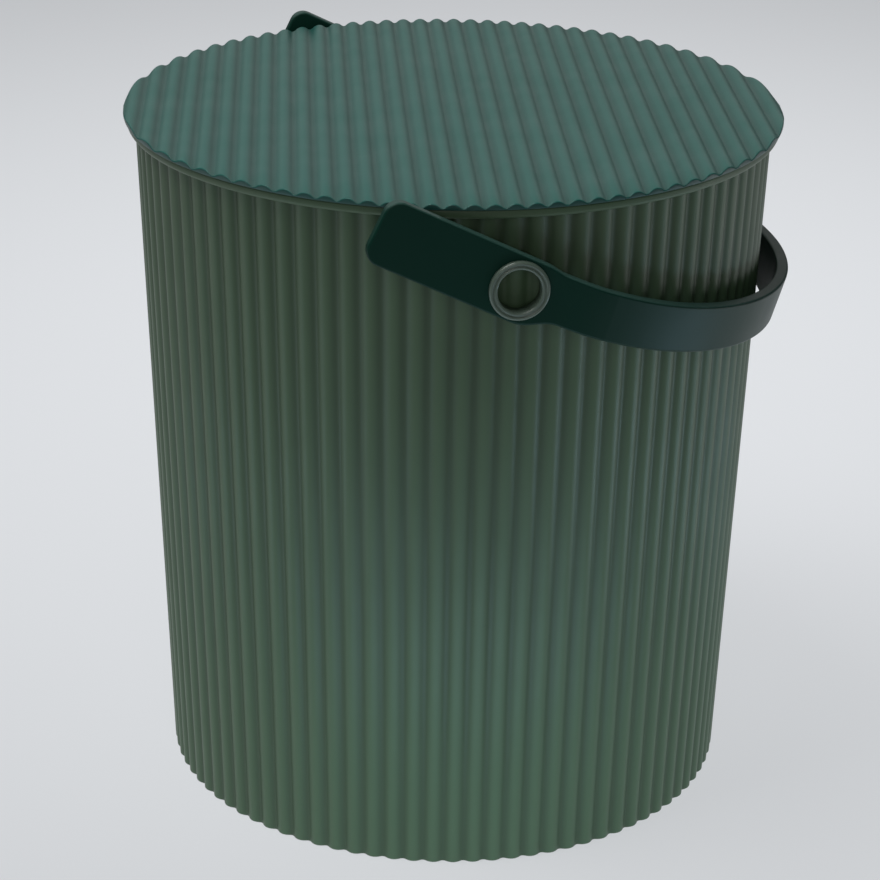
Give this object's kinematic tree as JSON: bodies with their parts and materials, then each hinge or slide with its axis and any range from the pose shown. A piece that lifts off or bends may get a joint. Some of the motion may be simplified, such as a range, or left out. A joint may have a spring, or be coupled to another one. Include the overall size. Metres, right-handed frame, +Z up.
{
  "type": "lidded bucket",
  "caption": "Round fluted plastic bucket with a corrugated lift-off lid and a strap handle that swings on ringed side pivots.",
  "frame": {"origin": "centre of the foot, on the ground", "axes": "+Z up along the bucket's axis; the handle's hinge line runs along Y; the folded strap lies towards +X"},
  "size_m": [0.3213, 0.3338, 0.342],
  "materials": {
    "bucket_plastic": "satin",
    "lid_plastic": "satin",
    "strap_plastic": "satin",
    "ring_plastic": "satin"
  },
  "bodies": {
    "bucket": {"bucket_body": "bucket_plastic", "pivot_ring_near": "ring_plastic", "pivot_ring_far": "ring_plastic"},
    "lid": {"lid": "lid_plastic"},
    "handle": {"carry_handle": "strap_plastic"}
  },
  "joints": [
    {"name": "handle_swing", "type": "hinge", "parent": "bucket", "child": "handle", "pos_m": [0, 0, 0.3006], "axis": [0, -1, 0], "range_deg": [0, 213.5]},
    {"name": "lid_lift", "type": "slide", "parent": "bucket", "child": "lid", "axis": [0, 0, 1], "range_m": [0, 0.1]}
  ]
}
